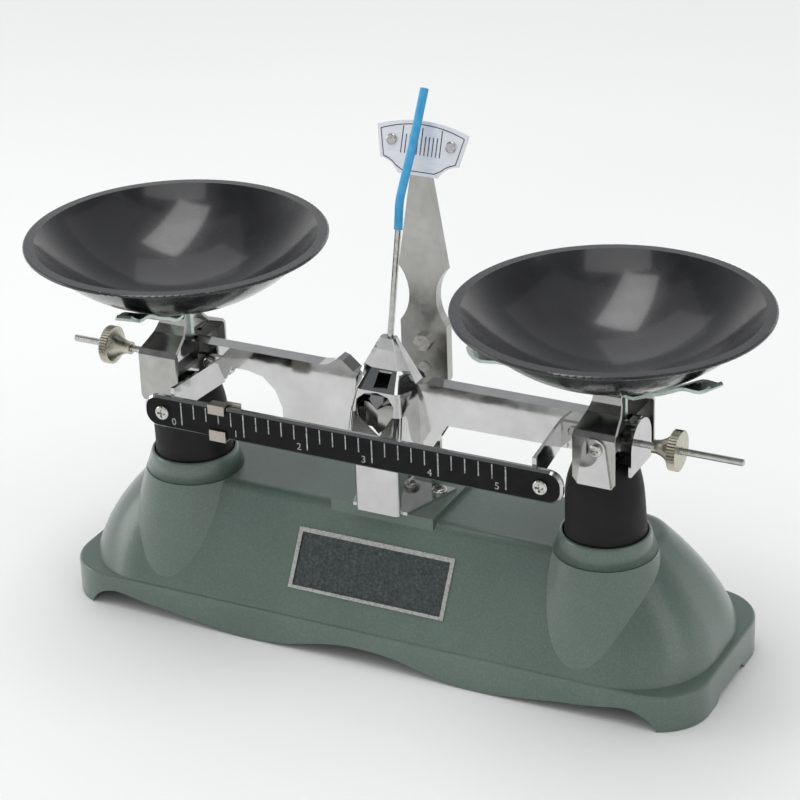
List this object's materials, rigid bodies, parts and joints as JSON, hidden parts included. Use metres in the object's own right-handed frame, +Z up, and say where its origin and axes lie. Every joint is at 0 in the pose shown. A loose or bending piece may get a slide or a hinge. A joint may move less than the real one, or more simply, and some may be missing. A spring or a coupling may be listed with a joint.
{
  "type": "roberval balance",
  "caption": "Table balance: a hooded swinging beam with knife edges carries open dished pans on claws above a green cast base, with rider scale, tilting pointer and dial plate.",
  "frame": {"origin": "on the table, below the middle of the line that joins the pan centres", "axes": "+X to the right along the beam as seen from the front, +Y to the back, +Z up"},
  "size_m": [0.274, 0.108, 0.1938],
  "materials": {
    "enamel": "hammered satin",
    "plate_metal": "cast, dull",
    "rubber": "matte",
    "nickel": "bright nickel plate",
    "screw_steel": "plated",
    "knife_steel": "ground",
    "zinc": "zinc plate",
    "nut_brass": "nickel on brass, knurled",
    "rider_steel": "spring sheet, bright",
    "scale_black": "black with bright edges",
    "sleeve_blue": "soft plastic",
    "dial_aluminium": "satin silver",
    "pan_black": "gunmetal, glossy"
  },
  "bodies": {
    "base": {"base_casting": "enamel", "nameplate": "plate_metal", "left_boot": "rubber", "right_boot": "rubber", "column": "nickel", "column_screws": "screw_steel", "front_centre_bearing": "knife_steel", "rear_centre_bearing": "knife_steel", "bracket_post": "nickel", "post_screw": "screw_steel", "indicator_bracket": "nickel", "bracket_bolt": "screw_steel", "bracket_nut": "screw_steel", "bracket_rivet": "screw_steel", "indicator_plate": "dial_aluminium", "indicator_rivets": "screw_steel", "link_pin": "knife_steel"},
    "beam": {"beam": "nickel", "centre_knife": "knife_steel", "left_end_knife": "knife_steel", "right_end_knife": "knife_steel", "left_end_plate": "nickel", "right_end_plate": "nickel", "left_stud": "screw_steel", "right_stud": "screw_steel", "pointer": "screw_steel", "pointer_sleeve": "sleeve_blue", "scale_bar": "scale_black", "left_standoff": "nickel", "right_standoff": "nickel", "standoff_rivets": "screw_steel", "scale_screws": "screw_steel"},
    "rider": {"rider": "rider_steel"},
    "left_nut": {"left_balance_nut": "nut_brass"},
    "right_nut": {"right_balance_nut": "nut_brass"},
    "left_holder": {"left_pan_holder": "nickel", "left_bearings": "knife_steel", "left_bearing_plate": "nickel", "left_bearing_screw": "screw_steel", "left_claw": "zinc", "left_stem": "zinc", "left_stem_pin": "knife_steel"},
    "right_holder": {"right_pan_holder": "nickel", "right_bearings": "knife_steel", "right_bearing_plate": "nickel", "right_bearing_screw": "screw_steel", "right_claw": "zinc", "right_stem": "zinc", "right_stem_pin": "knife_steel"},
    "left_pan": {"left_pan": "pan_black"},
    "right_pan": {"right_pan": "pan_black"},
    "link": {"lower_link": "zinc"}
  },
  "joints": [
    {"name": "beam_tilt", "type": "hinge", "parent": "base", "child": "beam", "pos_m": [0, 0, 0.091], "axis": [0, 1, 0], "range_deg": [-5, 5], "deforming": ["left_boot", "right_boot"]},
    {"name": "left_holder_swing", "type": "hinge", "parent": "beam", "child": "left_holder", "pos_m": [-0.0835, 0, 0.091], "axis": [0, 1, 0], "range_deg": [-5, 5]},
    {"name": "right_holder_swing", "type": "hinge", "parent": "beam", "child": "right_holder", "pos_m": [0.0835, 0, 0.091], "axis": [0, 1, 0], "range_deg": [-5, 5]},
    {"name": "lower_link_tilt", "type": "hinge", "parent": "base", "child": "link", "pos_m": [0, 0, 0.022], "axis": [0, 1, 0], "range_deg": [-5, 5]},
    {"name": "left_pan_lift", "type": "slide", "parent": "left_holder", "child": "left_pan", "axis": [0, 0, 1], "range_m": [0, 0.04]},
    {"name": "right_pan_lift", "type": "slide", "parent": "right_holder", "child": "right_pan", "axis": [0, 0, 1], "range_m": [0, 0.04]},
    {"name": "rider_slide", "type": "slide", "parent": "beam", "child": "rider", "axis": [1, 0, 0], "range_m": [-0.0145, 0.108]},
    {"name": "left_nut_slide", "type": "slide", "parent": "beam", "child": "left_nut", "axis": [1, 0, 0], "range_m": [-0.0135, 0.0115]},
    {"name": "right_nut_slide", "type": "slide", "parent": "beam", "child": "right_nut", "axis": [1, 0, 0], "range_m": [-0.0035, 0.0215]}
  ],
  "couplings": [
    {"joint": "left_holder_swing", "follows": "beam_tilt", "ratio": -1},
    {"joint": "right_holder_swing", "follows": "beam_tilt", "ratio": -1},
    {"joint": "lower_link_tilt", "follows": "beam_tilt", "ratio": 1}
  ]
}
